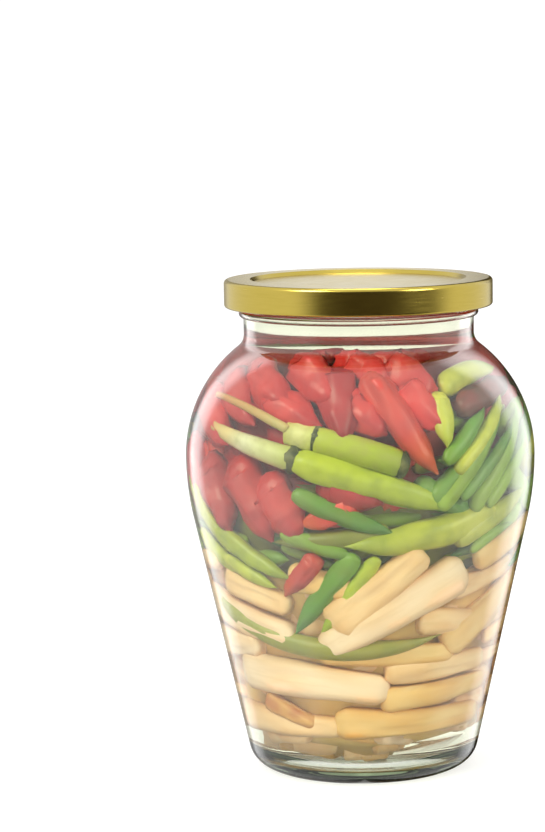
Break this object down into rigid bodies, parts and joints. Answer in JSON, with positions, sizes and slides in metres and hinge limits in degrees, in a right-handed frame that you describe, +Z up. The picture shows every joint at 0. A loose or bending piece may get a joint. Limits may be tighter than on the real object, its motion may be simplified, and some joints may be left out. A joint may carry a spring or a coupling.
{
  "type": "glass pickle jar",
  "caption": "Wide-shouldered glass preserve jar with a gold twist-off lid, packed with pickled chillies over bamboo shoots in brine.",
  "frame": {"origin": "on the jar's axis, at the level of the ring that it stands on", "axes": "+Z up along the jar's axis, +X to the right and -Y towards someone who looks at the front"},
  "size_m": [0.1348, 0.1348, 0.1901],
  "materials": {
    "jar_glass": "clear soda-lime glass, faintly green, pressed and blown smooth",
    "lid_lacquer": "tinplate under glossy gold lacquer",
    "lid_gasket": "soft cream-white plastisol, flowed in and cured",
    "brine": "clear pickling brine, faintly yellow-green",
    "bamboo_shoot": "wet pickled bamboo shoot, cream with peach edges",
    "green_chilli": "smooth waxy chilli skin, yellow-green",
    "red_chilli": "smooth waxy chilli skin, ripe red"
  },
  "bodies": {
    "root": {"glass_jar": "jar_glass", "lid": "lid_lacquer", "lid_liner": "lid_gasket", "brine": "brine", "bamboo_shoots": "bamboo_shoot", "green_chillies": "green_chilli", "red_chillies": "red_chilli"}
  },
  "joints": []
}
